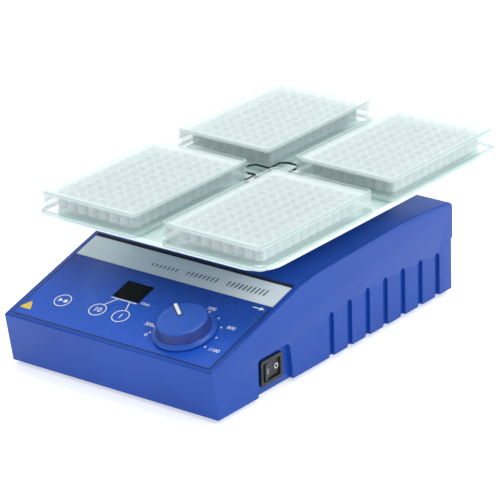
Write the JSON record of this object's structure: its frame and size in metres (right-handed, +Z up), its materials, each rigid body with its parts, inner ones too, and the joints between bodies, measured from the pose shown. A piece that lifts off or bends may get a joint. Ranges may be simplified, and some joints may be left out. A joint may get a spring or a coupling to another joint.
{
  "type": "orbital shaker for microplates",
  "caption": "Bench orbital shaker: wedge housing with sloping keypad, display and speed knob, and a flat orbiting tray holding lidded microplates round a centre spring.",
  "frame": {"origin": "on the bench under the middle of the object's bounding box", "axes": "+X to the right seen from the control panel, +Y from the panel to the back, +Z up"},
  "size_m": [0.191, 0.3226, 0.111],
  "materials": {
    "blue_housing": "fine moulded texture, satin",
    "panel_film": "printed polyester film, satin",
    "silver_strip": "brushed silver film",
    "black_window": "dark clear acrylic, gloss",
    "black_plastic": "moulded, fine texture",
    "white_print": "white, satin",
    "knob_plastic": "moulded, semi gloss",
    "tray_metal": "satin anodised",
    "drive_metal": "turned",
    "steel_sheet": "galvanised sheet",
    "turned_steel": "turned and ground",
    "zinc_weight": "cast",
    "rubber": "matt",
    "circuit_board": "solder resist",
    "transformer_tape": "wound and taped",
    "clear_plate": "moulded polystyrene, clear",
    "clear_lid": "moulded polystyrene, clear",
    "spring_black": "black coated spring wire"
  },
  "bodies": {
    "base": {"upper_housing": "blue_housing", "base_plate": "steel_sheet", "foot_front_left": "rubber", "foot_front_right": "rubber", "foot_rear_left": "rubber", "foot_rear_right": "rubber", "control_overlay": "panel_film", "panel_strip": "silver_strip", "display_window": "black_window", "display_module": "black_plastic", "control_board": "circuit_board", "speed_potentiometer": "steel_sheet", "power_board": "circuit_board", "transformer": "transformer_tape", "power_inlet": "black_plastic", "rocker_bezel": "black_plastic", "drive_bridge": "steel_sheet", "motor_case": "steel_sheet", "drive_belt": "rubber", "main_bearing_housing": "drive_metal", "main_bearing_lower": "turned_steel", "main_bearing_upper": "turned_steel", "idler_bearing_left": "drive_metal", "idler_bearing_right": "drive_metal"},
    "main_crank": {"main_crank": "turned_steel", "main_pulley": "drive_metal", "counterweight": "zinc_weight"},
    "left_crank": {"idler_crank_left": "turned_steel"},
    "right_crank": {"idler_crank_right": "turned_steel"},
    "motor_rotor": {"motor_shaft": "turned_steel", "motor_pulley": "drive_metal"},
    "tray": {"tray_carrier": "tray_metal", "tray": "tray_metal", "tray_bearing_main": "turned_steel", "tray_bearing_left": "turned_steel", "tray_bearing_right": "turned_steel", "tray_screw_1": "turned_steel", "tray_screw_2": "turned_steel", "tray_screw_3": "turned_steel", "tray_screw_4": "turned_steel", "plate_spring": "spring_black", "spring_hub": "black_plastic"},
    "knob": {"speed_knob": "knob_plastic", "knob_shaft": "turned_steel", "knob_pointer": "white_print"},
    "rocker": {"rocker": "black_plastic"},
    "start_stop_key": {"key_start_stop": "white_print"},
    "tens_key": {"key_tens": "white_print"},
    "ones_key": {"key_ones": "white_print"},
    "plate_front_left": {"microplate_front_left": "clear_plate"},
    "lid_front_left": {"lid_front_left": "clear_lid"},
    "plate_front_right": {"microplate_front_right": "clear_plate"},
    "lid_front_right": {"lid_front_right": "clear_lid"},
    "plate_rear_left": {"microplate_rear_left": "clear_plate"},
    "lid_rear_left": {"lid_rear_left": "clear_lid"},
    "plate_rear_right": {"microplate_rear_right": "clear_plate"},
    "lid_rear_right": {"lid_rear_right": "clear_lid"}
  },
  "joints": [
    {"name": "main_crank_turn", "type": "hinge", "parent": "base", "child": "main_crank", "pos_m": [0, -0.0307, 0.063], "axis": [0, 0, 1], "continuous": true},
    {"name": "left_crank_turn", "type": "hinge", "parent": "base", "child": "left_crank", "pos_m": [-0.052, 0.07129, 0.063], "axis": [0, 0, 1], "continuous": true},
    {"name": "right_crank_turn", "type": "hinge", "parent": "base", "child": "right_crank", "pos_m": [0.052, 0.07129, 0.063], "axis": [0, 0, 1], "continuous": true},
    {"name": "motor_turn", "type": "hinge", "parent": "base", "child": "motor_rotor", "pos_m": [0, 0.0313, 0.048], "axis": [0, 0, 1], "continuous": true},
    {"name": "tray_orbit", "type": "hinge", "parent": "main_crank", "child": "tray", "pos_m": [0, -0.0292, 0.082], "axis": [0, 0, 1], "continuous": true},
    {"name": "speed_knob_turn", "type": "hinge", "parent": "base", "child": "knob", "pos_m": [0.0442, -0.13185, 0.04707], "axis": [0, -0.2714, 0.9625], "range_deg": [-160.5, 62]},
    {"name": "power_rocker_turn", "type": "hinge", "parent": "base", "child": "rocker", "pos_m": [0.084, -0.0956, 0.0175], "axis": [0, 0, 1], "range_deg": [-16, 0]},
    {"name": "start_stop_press", "type": "slide", "parent": "base", "child": "start_stop_key", "axis": [0, 0.2714, -0.9625], "range_m": [0, 0.0005], "stiffness_N_per_m": 1500, "springref_m": -0.0004},
    {"name": "tens_press", "type": "slide", "parent": "base", "child": "tens_key", "axis": [0, 0.2714, -0.9625], "range_m": [0, 0.0005], "stiffness_N_per_m": 1500, "springref_m": -0.0004},
    {"name": "ones_press", "type": "slide", "parent": "base", "child": "ones_key", "axis": [0, 0.2714, -0.9625], "range_m": [0, 0.0005], "stiffness_N_per_m": 1500, "springref_m": -0.0004},
    {"name": "plate_lift_front_left", "type": "slide", "parent": "tray", "child": "plate_front_left", "axis": [0, 0, 1], "range_m": [0, 0.06]},
    {"name": "plate_lift_front_right", "type": "slide", "parent": "tray", "child": "plate_front_right", "axis": [0, 0, 1], "range_m": [0, 0.06]},
    {"name": "plate_lift_rear_left", "type": "slide", "parent": "tray", "child": "plate_rear_left", "axis": [0, 0, 1], "range_m": [0, 0.06]},
    {"name": "plate_lift_rear_right", "type": "slide", "parent": "tray", "child": "plate_rear_right", "axis": [0, 0, 1], "range_m": [0, 0.06]},
    {"name": "lid_lift_front_left", "type": "slide", "parent": "plate_front_left", "child": "lid_front_left", "axis": [0, 0, 1], "range_m": [0, 0.04]},
    {"name": "lid_lift_front_right", "type": "slide", "parent": "plate_front_right", "child": "lid_front_right", "axis": [0, 0, 1], "range_m": [0, 0.04]},
    {"name": "lid_lift_rear_left", "type": "slide", "parent": "plate_rear_left", "child": "lid_rear_left", "axis": [0, 0, 1], "range_m": [0, 0.04]},
    {"name": "lid_lift_rear_right", "type": "slide", "parent": "plate_rear_right", "child": "lid_rear_right", "axis": [0, 0, 1], "range_m": [0, 0.04]}
  ],
  "couplings": [
    {"joint": "left_crank_turn", "follows": "main_crank_turn", "ratio": 1},
    {"joint": "right_crank_turn", "follows": "main_crank_turn", "ratio": 1},
    {"joint": "tray_orbit", "follows": "main_crank_turn", "ratio": -1},
    {"joint": "motor_turn", "follows": "main_crank_turn", "ratio": 2.75}
  ]
}
